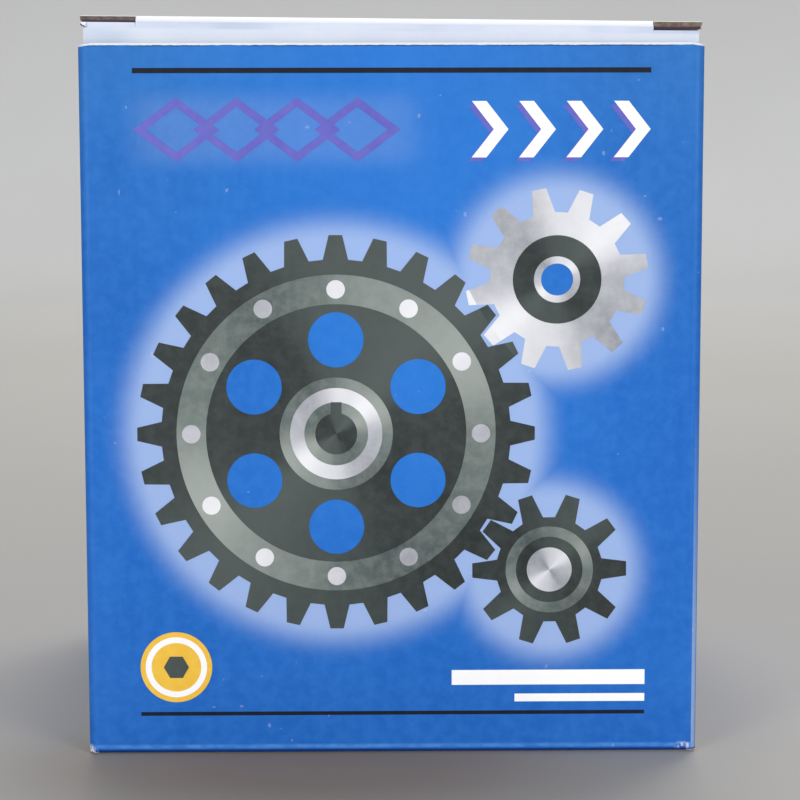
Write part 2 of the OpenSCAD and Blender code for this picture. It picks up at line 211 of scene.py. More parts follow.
def joinAll(name, pieces):
    clearSelection()
    for piece in pieces:
        piece.select_set(True)
    bpy.context.view_layer.objects.active = pieces[0]
    bpy.ops.object.join()
    whole = bpy.context.object
    whole.name = whole.data.name = name
    return whole


def addFold(centre, start, axis, degrees, span, depth, thickness,
            steps=board["creaseSteps"], lead=board["crushed"]):
    # One layer of a folded crease, with a short flat run before and after the turn
    radius = creaseRadius - depth
    sign = 1 if degrees > 0 else -1
    heading = axis.cross(start) * sign
    entry = centre + start * radius
    corner, other = entry - heading * lead + axis * span[0], entry + axis * span[1]
    fold = addPanel("fold", corner, other)
    startEditing(fold)
    pick("EDGE", lambda m: near((m - entry).dot(heading), 0))
    turnEdge(axis, degrees, centre, steps)
    extrude(Matrix.Rotation(radians(degrees), 3, axis) @ heading * lead)
    return thicken(fold, thickness)


def addWave():
    # One wave of the fluting, extruded step by step along a sine
    step = board["pitch"] / board["waveSteps"]
    height = (coreThickness - board["fluting"]) / 2
    strip = addPanel("wave", (0, 0, 0), (step, board["waveDraft"], 0))
    rises = [height * sin(2 * pi * i / board["waveSteps"]) for i in range(board["waveSteps"] + 1)]
    startEditing(strip)
    pick("EDGE", lambda m: near(m.x, step))
    shift((0, 0, rises[1]))
    for before, after in zip(rises[1:], rises[2:]):
        extrude((step, 0, after - before))
    clearSelection()
    return strip


wave = addWave()


def layFlutes(low, high, along):
    # Fluting that fills a flat panel; along is the number of the axis that the flutes run along
    low, high = Vector(low), Vector(high)
    size = high - low
    flat = min(range(3), key=lambda i: abs(size[i]))
    across = 3 - flat - along
    sheet = wave.copy()
    sheet.data = wave.data.copy()
    bpy.context.scene.collection.objects.link(sheet)
    activate(sheet)
    row = sheet.modifiers.new("row", "ARRAY")
    row.count = int(size[across] / board["pitch"]) + 2
    row.relative_offset_displace = (1, 0, 0)
    row.use_merge_vertices, row.merge_threshold = True, 0.01 * mm
    bpy.ops.object.modifier_apply(modifier=row.name)
    sheet.scale.y = size[along] / board["waveDraft"]
    sheet.rotation_euler = (pi / 2 if along == 2 else 0, 0, pi / 2 if across == 1 else 0)
    bpy.ops.object.transform_apply(location=True, rotation=True, scale=True)
    box = [Vector(c) for c in sheet.bound_box]
    sheet.location = (low + high) / 2 - (box[0] + box[6]) / 2
    bpy.ops.object.transform_apply(location=True)
    startEditing(sheet)
    direction = [xAxis, yAxis, zAxis][across]
    cut(everything, low, -direction)
    cut(everything, high, direction)
    return sheet


def finishPiece(obj, body, replaced, material):
    if material:
        obj.data.materials.clear()
        obj.data.materials.append(material)
    activate(obj)
    bpy.ops.object.shade_smooth_by_angle(angle=radians(smoothAngle))
    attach(obj, body)
    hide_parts(replaced)
    print(body + ":", obj.name, len(obj.data.polygons))


# Materials
def srgb(r, g, b):
    # A colour as a paint program gives it, 0 to 255
    def straight(c):
        c /= 255
        return c / 12.92 if c <= 0.04045 else ((c + 0.055) / 1.055) ** 2.4
    return (straight(r), straight(g), straight(b), 1)


class Recipe:
    # Short calls for wiring one material's nodes
    def __init__(self, name, roughness=0.5, specular=0.5):
        self.material = bpy.data.materials.new(name)
        self.material.use_nodes = True
        self.tree = self.material.node_tree
        self.shader = self.tree.nodes["Principled BSDF"]
        self.shader.inputs["Roughness"].default_value = roughness
        self.shader.inputs["Specular IOR Level"].default_value = specular
        self.place = self.node("TexCoord").outputs["Object"]

    def node(self, kind, **inputs):
        made = self.tree.nodes.new("ShaderNode" + kind)
        for name, value in inputs.items():
            self.feed(made.inputs[name.replace("_", " ")], value)
        return made

    def feed(self, socket, value):
        if isinstance(value, bpy.types.NodeSocket):
            self.tree.links.new(value, socket)
        else:
            socket.default_value = value

    def math(self, operation, *values):
        made = self.tree.nodes.new("ShaderNodeMath")
        made.operation = operation
        for socket, value in zip(made.inputs, values):
            self.feed(socket, value)
        return made.outputs[0]

    def times(self, first, second):
        return self.math("MULTIPLY", first, second)

    def off(self, value, middle):
        # How far a value lies from a middle
        return self.math("ABSOLUTE", self.math("SUBTRACT", value, middle))

    def between(self, value, low, high, smooth=True):
        # 0 below low and 1 above high
        made = self.tree.nodes.new("ShaderNodeMapRange")
        made.interpolation_type = "SMOOTHSTEP" if smooth else "LINEAR"
        for name, given in (("Value", value), ("From Min", low), ("From Max", high)):
            self.feed(made.inputs[name], given)
        return made.outputs["Result"]

    def mix(self, share, first, second):
        made = self.tree.nodes.new("ShaderNodeMix")
        made.data_type = "RGBA"
        self.feed(made.inputs[0], share)
        self.feed(made.inputs[6], first)
        self.feed(made.inputs[7], second)
        return made.outputs[2]

    def noise(self, scale, detail=4, roughness=0.5, stretch=(1, 1, 1), offset=(0, 0, 0)):
        mapping = self.node("Mapping", Vector=self.place, Scale=stretch, Location=offset)
        made = self.node("TexNoise", Vector=mapping.outputs[0], Scale=scale, Detail=detail,
                         Roughness=roughness)
        return made.outputs["Fac"]

    def axes(self):
        return self.node("SeparateXYZ", Vector=self.place).outputs

    def ramp(self, value, *stops):
        made = self.tree.nodes.new("ShaderNodeValToRGB")
        elements = made.color_ramp.elements
        while len(elements) < len(stops):
            elements.new(0.5)
        for element, (position, colour) in zip(elements, stops):
            element.position, element.color = position, colour
        self.feed(made.inputs[0], value)
        return made.outputs[0]

    def finish(self, colour, bumps=(), roughness=None):
        self.feed(self.shader.inputs["Base Color"], colour)
        if roughness is not None:
            self.feed(self.shader.inputs["Roughness"], roughness)
        normal = None
        for height, distance in bumps:
            bump = self.node("Bump", Height=height, Distance=distance, Strength=1.0)
            if normal:
                self.feed(bump.inputs["Normal"], normal)
            normal = bump.outputs[0]
        if normal:
            self.feed(self.shader.inputs["Normal"], normal)
        return self.material


paper = {
    # kraft
    "fleck": srgb(96, 70, 44),
    # painted shade for the slits' cut edges
    "paintedSlitShade": srgb(60, 48, 78),
    "fibreHeight": 0.03 * mm,
    # white liner
    "whiteDull": srgb(206, 215, 234),
    "whiteBright": srgb(215, 223, 238),
    "whiteShade": srgb(184, 198, 222),
    "whiteSpeck": srgb(196, 200, 212),
    "whiteGrainHeight": 0.012 * mm,
}
# Where the lid gets its painted highlight and painted shade; the heights follow its sloping front edge
lidMarks = {
    "fold": (172.5 * mm, 173.2 * mm),
    "foldFront": (-67 * mm, -68.5 * mm),
    "shadeFoot": (170.7 * mm, 171.6 * mm),
    "shadeTop": (172.9 * mm, 172.4 * mm),
    "shadedLeftEnd": (-56 * mm, -68 * mm),
    "shadeBack": -66 * mm,
    # painted shade along the slits' cut edges
    "slitShadeBand": (173.0 * mm, 172.5 * mm),
    "leftShadeLower": 0.25 * mm,
    "leftDarkening": 0.34,
}


def kraftMaterial(name, pale, dark, stretch=(1, 1, 0.25), shadeZone=None):
    r = Recipe(name, roughness=0.85, specular=0.25)
    fibres = r.noise(900, 6, 0.65, stretch)
    clouds = r.noise(60, 3)
    colour = r.mix(r.between(fibres, 0.3, 0.72), dark, pale)
    colour = r.mix(r.times(r.between(clouds, 0.35, 0.7), 0.25), colour, dark)
    flecks = r.between(r.noise(2600, 2, offset=(3, 1, 2)), 0.68, 0.74)
    colour = r.mix(r.times(flecks, 0.5), colour, paper["fleck"])
    # painted shade where a zone is given
    if shadeZone:
        colour = r.mix(shadeZone(r), colour, paper["paintedSlitShade"])
    return r.finish(colour, [(fibres, paper["fibreHeight"])])


def whiteMaterial(name, paleWhiteAndHighlightZone, paleWhiteAndHighlight, paintedShadeZone=None):
    # Clay-coated liner; a zone turns a paler white: the carton's bare cut edge, patches on the torn
    # scrap, and a painted highlight along the lid's fold. A second zone adds painted shade
    r = Recipe(name, roughness=0.5, specular=0.35)
    clouds = r.noise(45, 4)
    fine = r.noise(1800, 3)
    colour = r.mix(r.between(clouds, 0.3, 0.75), paper["whiteDull"], paper["whiteBright"])
    if paintedShadeZone:
        # painted shade, broken into streaks, where a zone is given
        streaks = r.between(r.noise(90, 4, stretch=(0.3, 1, 1)), 0.35, 0.6)
        colour = r.mix(r.times(paintedShadeZone(r), streaks), colour, paper["whiteShade"])
    colour = r.mix(r.times(r.between(fine, 0.62, 0.72), 0.3), colour, paper["whiteSpeck"])
    # paler white: real on cut edges and the torn scrap, a painted highlight on the lid's fold
    colour = r.mix(paleWhiteAndHighlightZone(r), colour, paleWhiteAndHighlight)
    return r.finish(colour, [(fine, paper["whiteGrainHeight"])])


def cartonEdgeZone(r):
    return r.between(r.axes()[2], frontTop - 0.05 * mm, frontTop + 0.05 * mm)


def lidLevel(r):
    # Height above the ground, made level along the sloping front edge
    x, _, z = r.axes()
    return r.math("ADD", z, r.times(x, sin(radians(lid["twist"]))))


def lidFoldHighlight(r):
    # Painted highlight along the fold between the closure and the tuck flap
    band = r.between(lidLevel(r), *lidMarks["fold"])
    return r.times(band, r.between(r.axes()[1], *lidMarks["foldFront"]))


def lidPaintedShade(r):
    # Painted shade: a faint band under the fold, and a darker left end
    x, y, _ = r.axes()
    level = lidLevel(r)
    band = r.times(r.between(level, *lidMarks["shadeFoot"]), r.between(level, *lidMarks["shadeTop"]))
    leftEnd = r.between(x, *lidMarks["shadedLeftEnd"])
    return r.times(r.math("MAXIMUM", band, leftEnd), r.math("LESS_THAN", y, lidMarks["shadeBack"]))


def slitShadeZone(r):
    # Painted shade on the lower half of a slit's edge, reaching higher on the left one, which is also
    # darker all over
    onLeft = r.math("LESS_THAN", r.axes()[0], 0)
    level = r.math("SUBTRACT", lidLevel(r), r.times(onLeft, lidMarks["leftShadeLower"]))
    paintedSlitShade = r.between(level, *lidMarks["slitShadeBand"])
    return r.math("MAXIMUM", paintedSlitShade, r.times(onLeft, lidMarks["leftDarkening"]))


kraft = kraftMaterial("kraft_liner", srgb(176, 143, 103), srgb(143, 112, 76))
fluting = kraftMaterial("kraft_fluting", srgb(160, 130, 94), srgb(118, 92, 62))

# Print
printing = {
    # middle x, middle z and tip radius of each gear
    "gears": [(-13.25 * mm, 77.29 * mm, 46.75 * mm), (38.51 * mm, 113.53 * mm, 21.48 * mm),
              (37.09 * mm, 44.60 * mm, 18.32 * mm)],
    "glow": 10 * mm,
    "glowColour": srgb(172, 194, 234),
    "bareTop": 0.08 * mm,  # print missing under the front's cut edge
    "bareColour": srgb(218, 225, 234),
    "flakeColour": srgb(250, 246, 243),
    "fluteShow": 0.012 * mm,
    "roughness": 0.5,
    "gloss": 0.22,
    "slope": 7,  # how fast a gear's ink pales towards the upper left, per metre
    "slopeMiddle": 77 * mm,
}


def gearDistances(r):
    # How far a point lies outside each gear's tips, with its offset from the gear's middle
    x, _, z = r.axes()
    found = []
    for middleX, middleZ, reach in printing["gears"]:
        dx, dz = r.math("SUBTRACT", x, middleX), r.math("SUBTRACT", z, middleZ)
        away = r.math("SQRT", r.math("ADD", r.times(dx, dx), r.times(dz, dz)))
        found.append((r.math("SUBTRACT", away, reach), dx, dz))
    return found


def gearLight(r, sectors, phase):
    # Bright and dark sectors about the middle of the nearest gear, from -1 to 1
    distances = gearDistances(r)
    nearest = distances[0][0]
    for outside, _, _ in distances[1:]:
        nearest = r.math("MINIMUM", nearest, outside)
    nearest = r.math("ADD", nearest, 0.001 * mm)  # so that the nearest gear passes the test below
    total = None
    for outside, dx, dz in distances:
        turn = r.math("ARCTAN2", dz, dx)
        light = r.math("COSINE", r.math("SUBTRACT", r.times(turn, sectors), phase))
        light = r.times(light, r.math("LESS_THAN", outside, nearest))
        total = light if total is None else r.math("ADD", total, light)
    return total


def addPaperGrain(r, colour, dark, pale, strength=1.0):
    # The mottling and fine grain that every printed field shares
    clouds = r.between(r.noise(60, 5, 0.6), 0.3, 0.72)
    colour = r.mix(r.times(clouds, 0.12 * strength), colour, pale)
    blotches = r.between(r.noise(22, 3, offset=(4, 2, 7)), 0.4, 0.75)
    colour = r.mix(r.times(blotches, 0.22 * strength), colour, dark)
    streaks = r.between(r.noise(240, 3, stretch=(1, 1, 0.02), offset=(1, 5, 0)), 0.45, 0.75)
    colour = r.mix(r.times(streaks, 0.10 * strength), colour, pale)
    mottle = r.between(r.noise(330, 3, 0.6, offset=(2, 8, 3)), 0.35, 0.68)
    colour = r.mix(r.times(mottle, 0.2 * strength), colour, pale)
    grain = r.noise(1900, 2, 0.6)
    colour = r.mix(r.times(r.between(grain, 0.5, 0.8), 0.12 * strength), colour, pale)
    return colour, grain


def fluteWaves(r):
    # The waves of the middle layer, faintly seen through the liner of every wall
    x, y, _ = r.axes()
    onSide = r.math("GREATER_THAN", r.math("ABSOLUTE", x), halfWidth - 0.5 * mm)
    along = r.math("ADD", r.times(x, r.math("SUBTRACT", 1, onSide)), r.times(y, onSide))
    return r.math("SINE", r.times(along, 2 * pi / board["pitch"]))


def finishPrint(r, colour, grain):
    rough = r.math("ADD", printing["roughness"], r.times(r.math("SUBTRACT", grain, 0.5), 0.12))
    return r.finish(colour, [(grain, 0.006 * mm), (fluteWaves(r), printing["fluteShow"])], rough)


def inkMaterial(name, tone, dark, pale):
    r = Recipe(name, specular=printing["gloss"])
    colour, grain = addPaperGrain(r, tone, dark, pale)
    return finishPrint(r, colour, grain)


def metalInkMaterial(name, dark, middle, light, phase, strength=1.0):
    # A gear's ink, shaded like turned metal
    r = Recipe(name, specular=printing["gloss"])
    x, _, z = r.axes()
    sectors = gearLight(r, 2, phase)
    fine = gearLight(r, 6, phase * 2)
    rise = r.times(r.math("SUBTRACT", z, printing["slopeMiddle"]), printing["slope"])
    slope = r.math("SUBTRACT", rise, r.times(x, printing["slope"]))
    level = r.math("ADD", 0.5, r.times(sectors, 0.34))
    level = r.math("ADD", level, r.times(fine, 0.07))
    level = r.math("ADD", level, r.times(slope, 0.3))
    colour = r.ramp(level, (0, dark), (0.5, middle), (1, light))
    colour, grain = addPaperGrain(r, colour, dark, light, strength)
    return finishPrint(r, colour, grain)


ground = {
    # share of the wall's height, and the blue there
    "blues": [(0, srgb(15, 93, 181)), (0.12, srgb(18, 98, 189)), (0.5, srgb(8, 96, 188)),
              (0.85, srgb(20, 100, 184)), (1, srgb(36, 108, 183))],
    "wallMiddle": srgb(32, 119, 214),
    "darkGrain": srgb(16, 86, 172),
    "paleGrain": srgb(58, 130, 214),
    "gearGlow": 0.74,
    "rowGlow": 0.13,
    "rowX": -27 * mm,  # middle of the row of diamonds
    "rowZ": 148.5 * mm,
    "rowFadeX": (38 * mm, 26 * mm),
    "rowFadeZ": (11 * mm, 4 * mm),
    "ragged": 0.45 * mm,  # how far the print's upper edge wanders
    "rim": (0.42 * mm, 0.14 * mm),  # darker ink under that edge
    "rimColour": srgb(18, 56, 112),
    "creaseRidge": (1.44 * mm, 1.31 * mm),  # paler ridge of an upright crease
    "creasePaleColour": srgb(170, 196, 226),
    "rightFootFade": (95 * mm, 15 * mm),
    "footRise": (1.1 * mm, 1.6 * mm),  # painted highlight on the ridge of the bottom crease
    "footFall": (2.7 * mm, 2.0 * mm),
    "footHighlightColour": srgb(92, 154, 232),
    # painted shade where the crease turns under
    "footShadeBand": (1.25 * mm, 0.8 * mm),
    "footShadeColour": srgb(10, 50, 128),
    "crackX": (-70.8 * mm, -71.7 * mm),
    "crackZ": (2.8 * mm, 0.9 * mm),
    "scuffX": 69.3 * mm,
    "scuffZ": 1.7 * mm,
    "scuffFadeX": (2.6 * mm, 0.6 * mm),
    "scuffFadeZ": (1.1 * mm, 0.2 * mm),
}


def groundMaterial():
    r = Recipe("ground_blue", specular=printing["gloss"])
    x, y, z = r.axes()
    height = r.math("DIVIDE", z, frontTop)
    onFront = r.math("LESS_THAN", y, -halfDepth + 1 * mm)
    # the blue changes with height and is paler at the top: partly printed tone, partly painted light
    # falling off towards the foot
    colour = r.ramp(height, *ground["blues"])
    # paler towards the middle of each wall
    across = r.math("DIVIDE", r.times(x, y), halfWidth * halfDepth)
    middle = r.times(r.between(r.math("ABSOLUTE", across), 0.95, 0.1), r.between(height, 0.1, 0.55))
    colour = r.mix(r.times(middle, 0.75), colour, ground["wallMiddle"])
    colour, grain = addPaperGrain(r, colour, ground["darkGrain"], ground["paleGrain"])
    # glow round the gears and behind the row of diamonds
    glow = None
    for outside, _, _ in gearDistances(r):
        ring = r.times(r.between(outside, printing["glow"], -1.5 * mm),
                       r.between(outside, -14 * mm, -8 * mm))
        glow = ring if glow is None else r.math("MAXIMUM", glow, ring)
    glow = r.times(r.math("POWER", glow, 1.9), ground["gearGlow"])
    row = r.times(r.between(r.off(z, ground["rowZ"]), *ground["rowFadeZ"]),
                  r.between(r.off(x, ground["rowX"]), *ground["rowFadeX"]))
    glow = r.math("MAXIMUM", glow, r.times(row, ground["rowGlow"]))
    colour = r.mix(r.times(glow, onFront), colour, printing["glowColour"])
    # bare white along the cut, with a dark rim of ink under it
    ragged = r.times(r.math("SUBTRACT", r.noise(520, 4, 0.7), 0.5), ground["ragged"])
    edge = r.math("SUBTRACT", r.math("SUBTRACT", frontTop - printing["bareTop"], z), ragged)
    rim = r.times(r.between(edge, *ground["rim"]), r.between(r.noise(130, 2), 0.3, 0.55))
    colour = r.mix(r.times(rim, 0.8), colour, ground["rimColour"])
    bare = r.times(r.between(edge, 0.06 * mm, -0.06 * mm), onFront)
    # paler ridges of the upright creases, most at the foot of the right one
    outer, inner = ground["creaseRidge"]
    ridge = r.between(r.math("ADD", r.math("ABSOLUTE", x), r.math("ABSOLUTE", y)),
                      halfWidth + halfDepth - outer, halfWidth + halfDepth - inner)
    patches = r.between(r.noise(75, 5, 0.7, stretch=(1, 1, 0.5)), 0.56, 0.7)
    rightFoot = r.times(r.between(z, *ground["rightFootFade"]), r.math("GREATER_THAN", x, 0))
    patches = r.math("MAXIMUM", r.times(patches, 0.3), r.times(rightFoot, 0.6))
    colour = r.mix(r.times(ridge, patches), colour, ground["creasePaleColour"])
    # the bottom crease: an uneven painted highlight on its ridge, over a line of painted shade
    footHighlight = r.times(r.between(z, *ground["footRise"]), r.between(z, *ground["footFall"]))
    uneven = r.between(r.noise(260, 4, 0.6, stretch=(1, 1, 2), offset=(6, 1, 3)), 0.3, 0.75)
    footHighlight = r.times(footHighlight, r.math("ADD", 0.25, r.times(uneven, 0.5)))
    colour = r.mix(footHighlight, colour, ground["footHighlightColour"])
    colour = r.mix(r.times(r.between(z, *ground["footShadeBand"]), 0.85), colour, ground["footShadeColour"])
    # cracked corner at the left, scuff at the right, and a few specks
    flakes = r.between(r.noise(620, 4, 0.7), 0.47, 0.53)
    leftCorner = r.times(r.between(x, *ground["crackX"]), r.between(z, *ground["crackZ"]))
    rightScuff = r.times(r.between(r.off(x, ground["scuffX"]), *ground["scuffFadeX"]),
                         r.between(r.off(z, ground["scuffZ"]), *ground["scuffFadeZ"]))
    scratches = r.between(r.noise(1300, 3, 0.6, stretch=(1, 1, 0.5)), 0.46, 0.62)
    rightScuff = r.times(rightScuff, r.times(scratches, 0.75))
    worn = r.math("MAXIMUM", r.times(leftCorner, flakes), rightScuff)
    specks = r.between(r.noise(560, 0, 0.4, offset=(9, 4, 6)), 0.87, 0.89)
    colour = r.mix(bare, colour, printing["bareColour"])
    worn = r.math("MAXIMUM", r.times(worn, 0.85), r.times(specks, 0.12))
    colour = r.mix(worn, colour, printing["flakeColour"])
    return finishPrint(r, colour, grain)


inks = {
    "print_ground": groundMaterial(),
    "print_rules": inkMaterial("rule_navy", srgb(9, 14, 28), srgb(6, 10, 20), srgb(24, 34, 60)),
    "print_violet": inkMaterial(
        "ink_violet", srgb(95, 95, 188), srgb(78, 78, 172), srgb(122, 124, 204)),
    "print_white": inkMaterial(
        "ink_white", srgb(250, 250, 252), srgb(226, 230, 242), srgb(255, 255, 255)),
    "print_dark": metalInkMaterial(
        "gear_dark", srgb(30, 36, 36), srgb(48, 56, 57), srgb(84, 94, 92), 2.2),
    "print_mid": metalInkMaterial(
        "gear_mid", srgb(62, 74, 76), srgb(98, 110, 108), srgb(160, 168, 164), 1.3),
    "print_silver": metalInkMaterial(
        "gear_silver", srgb(128, 132, 142), srgb(184, 186, 194), srgb(244, 245, 250), 1.9, 0.6),
    "print_yellow": inkMaterial(
        "badge_yellow", srgb(238, 190, 62), srgb(214, 158, 40), srgb(250, 214, 104)),
}
for nodeName, ink in inks.items():
    nodeMesh = bpy.data.objects[nodeName].data
    nodeMesh.materials.clear()
    nodeMesh.materials.append(ink)
print("print:", len(inks), "inks")

# Carton
carton = {
    "seamSetback": 0.4 * mm,  # of the back panel's raw edge beside the glue lap
    "bareEdge": 0.45 * mm,  # white board that shows above the print along the front
    "backFold": halfDepth - board["thickness"] - creaseRadius,  # the left side turns into the lap here
    "cornerLift": 0.6 * mm,
    "cornerFall": 0.8 * mm,
    "cornerFallWidth": 3.2 * mm,
    "lapWidth": 28 * mm,
    "lapLow": 2.3 * mm,
    "lapTaper": 7 * mm,
    "dustTop": frontTop - 0.3 * mm,
    "dustLength": 50 * mm,
    "dustFront": -66.3 * mm,
    "dustBack": 68.2 * mm,
    "dustRoot": 14 * mm,
    "dustTaper": 9 * mm,
    "dustCorner": 6 * mm,
    "dustRootRadius": 3 * mm,
    "baseSideGap": 1 * mm,
    "seamGap": 0.8 * mm,
    "seamStep": 12 * mm,
    "seamSlant": 7 * mm,
    "innerLength": 58 * mm,
    "innerGap": 0.4 * mm,
    "innerTaper": 34 * mm,
}
cutTop = frontTop + carton["bareEdge"]
sideTop = carton["dustTop"] - creaseRadius
sideLow = board["thickness"] + creaseRadius
backTop = lidTop - creaseRadius - board["hingeLead"]
innerFront = -foldY + carton["innerGap"]
innerBack = carton["backFold"] - carton["innerGap"]


def dustOutline():
    front, back = carton["dustFront"], carton["dustBack"]
    shoulder, free = halfWidth - carton["dustRoot"], halfWidth - carton["dustLength"]
    return [(foldX, front, 0), (foldX, back, 0), (shoulder, back, carton["dustRootRadius"]),
            (free, back - carton["dustTaper"], carton["dustCorner"]),
            (free, front + carton["dustTaper"], carton["dustCorner"]),
            (shoulder, front, carton["dustRootRadius"])]


def innerOutline():
    free = halfWidth - carton["innerLength"]
    return [(foldX, innerFront, 0), (foldX, innerBack, 0), (free, innerBack - carton["innerTaper"], 0),
            (free, innerFront + carton["innerTaper"], 0)]


def sideFlaps(depth):
    # Root, turn, front, back, length, level and outline of a dust flap and of an inner base flap
    return ((sideTop, -90, carton["dustFront"], carton["dustBack"], carton["dustLength"],
             carton["dustTop"] - depth, dustOutline()),
            (sideLow, 90, innerFront, innerBack, carton["innerLength"],
             board["thickness"] + depth, innerOutline()))


def cutSeam(test, end):
    # The interlocking edge of an outer base flap; end is -1 for the front flap and 1 for the back one
    gap, step, slant = carton["seamGap"] / 2, carton["seamStep"], carton["seamSlant"]
    far, short = step - gap, -step - gap
    cut(test, (slant, 0, 0), xAxis, drop=False)
    cut(test, (-slant, 0, 0), xAxis, drop=False)
    cut(lambda m: test(m) and -end * m.x < -slant, (0, -end * far, 0), -end * yAxis)
    cut(lambda m: test(m) and -end * m.x > slant, (0, -end * short, 0), -end * yAxis)
    cut(lambda m: test(m) and abs(m.x) < slant, (end * slant, -end * far, 0),
        -end * Vector((far - short, 2 * slant, 0)))


def cutCornerFalls(fill=False):
    # The front's upper edge drops a little towards its corners
    width = carton["cornerFallWidth"]
    start, reach = halfWidth - width, width + board["thickness"]

    def onFront(m):
        return m.y < -foldY + 1 * mm

    for side in (1, -1):
        outward = Vector((side * carton["cornerFall"], 0, reach))
        cut(lambda m: onFront(m) and abs(m.x) < foldX, (side * start, 0, 0), xAxis, drop=False)
        cut(lambda m: onFront(m) and m.x * side > start, (side * start, 0, cutTop), outward, fill=fill)


def taperLap(test):
    slant = Vector((carton["lapTaper"], 0, carton["lapWidth"] - creaseRadius))
    cut(test, (-foldX, 0, sideTop), slant)
    cut(test, (-foldX, 0, carton["lapLow"]), (slant.x, 0, -slant.z))


def foldCarton(name, depth):
    # One layer of the sheet, from the back panel's raw edge round to the glue lap, with its flaps
    radius, side, face = creaseRadius - depth, halfWidth - depth, halfDepth - depth
    lapFace = carton["backFold"] + radius
    sheet = addPanel(name, (-halfWidth + carton["seamSetback"], face, 0), (foldX, face, cutTop))
    startEditing(sheet)
    pick("EDGE", lambda m: near(m.x, foldX))
    turnEdge(zAxis, -90, (foldX, foldY, 0))
    extrude((0, -2 * foldY, 0))
    turnEdge(zAxis, -90, (foldX, -foldY, 0))
    extrude((-2 * foldX, 0, 0))
    turnEdge(zAxis, -90, (-foldX, -foldY, 0))
    extrude((0, carton["backFold"] + foldY, 0))
    turnEdge(zAxis, -90, (-foldX, carton["backFold"], 0))
    extrude((carton["lapWidth"] - creaseRadius, 0, 0))

    def onSide(m):
        return near(abs(m.x), side) and -foldY < m.y < foldY

    def onLap(m):
        return m.x < -foldX + carton["lapWidth"] and (near(m.y, lapFace)
            or (m.x < -foldX and m.y > carton["backFold"] and not near(m.y, face)))

    def onFlat(m):
        return abs(m.x) < foldX and near(abs(m.y), face)

    def onCrease(m):
        return abs(m.x) > foldX and (m.y < -foldY or (m.x > 0 and m.y > foldY))

    cut(lambda m: onSide(m) or onLap(m) or (onCrease(m) and m.y > 0), (0, 0, sideTop), zAxis)
    cut(lambda m: onFlat(m) and m.y > 0, (0, 0, backTop), zAxis)
    cut(onSide, (0, 0, sideLow), -zAxis)
    cut(onFlat, (0, 0, creaseRadius), -zAxis)
    cut(onCrease, (0, 0, carton["cornerLift"]), -zAxis)
    cut(onLap, (0, 0, carton["lapLow"]), -zAxis)
    taperLap(onLap)
    cutCornerFalls()

    for sign in (1, -1):
        def thisSide(m):
            return onSide(m) and m.x * sign > 0
        for y in (carton["dustFront"], carton["dustBack"], innerFront, innerBack):
            cut(thisSide, (0, y, 0), yAxis, drop=False)
        for root, turn, front, back, length, level, outline in sideFlaps(depth):
            pick("EDGE", lambda m: near(m.x, sign * side) and near(m.z, root) and front < m.y < back)
            turnEdge(yAxis, turn * sign, (sign * foldX, 0, root))
            extrude((-sign * (length - creaseRadius), 0, 0))
            trimTo(outline, lambda u, v: Vector((sign * u, v, 0)),
                   lambda m: near(m.z, level) and m.x * sign > 0 and abs(m.x) < foldX)

    for end in (-1, 1):
        # outer base flap, a little wider than its crease
        pick("EDGE", lambda m: abs(m.x) < foldX and near(m.y, end * face) and near(m.z, creaseRadius))
        turnEdge(xAxis, -90 * end, (0, end * foldY, creaseRadius))
        extrude((0, -end * (foldY + carton["seamStep"]), 0))
        wider = creaseRadius - carton["baseSideGap"]
        for sign in (1, -1):
            pick("EDGE", lambda m: near(m.x, sign * foldX) and near(m.z, depth) and m.y * end < foldY)
            extrude((sign * wider, 0, 0))
        cutSeam(lambda m: near(m.z, depth) and -carton["seamStep"] - 1 * mm < m.y * end < foldY, end)
    return sheet


def layCartonFlutes():
    middle, crushed = board["thickness"] / 2, board["crushed"]
    sheets = []
    for end, low, left, top in ((-1, creaseRadius, -foldX + crushed, cutTop),
                                (1, creaseRadius, -halfWidth + carton["seamSetback"], backTop)):
        y = end * (halfDepth - middle)
        sheets.append(layFlutes((left, y, low + crushed), (foldX - crushed, y, top), 2))
        # outer base flap
        side, far = halfWidth - carton["baseSideGap"], carton["seamStep"] - carton["seamGap"] / 2
        y = sorted((end * (foldY - crushed), -end * far))
        sheets.append(layFlutes((-side, y[0], middle), (side, y[1], middle), 1))
        cutSeam(everything, end)
    for sign in (1, -1):
        back = foldY if sign > 0 else carton["backFold"]
        x = sign * (halfWidth - middle)
        sheets.append(layFlutes((x, -foldY + crushed, sideLow + crushed),
                                (x, back - crushed, sideTop - crushed), 2))
        for _, _, front, back, length, z, outline in sideFlaps(middle):
            x = sorted((sign * (halfWidth - length), sign * (foldX - crushed)))
            sheets.append(layFlutes((x[0], front, z), (x[1], back, z), 0))
            trimTo(outline, lambda u, v: Vector((sign * u, v, 0)), everything)
    y = carton["backFold"] + creaseRadius - middle
    sheets.append(layFlutes((-foldX + crushed, y, carton["lapLow"]),
                            (-halfWidth + carton["lapWidth"], y, sideTop), 2))
    taperLap(everything)
    return [thicken(sheet, board["fluting"]) for sheet in sheets]


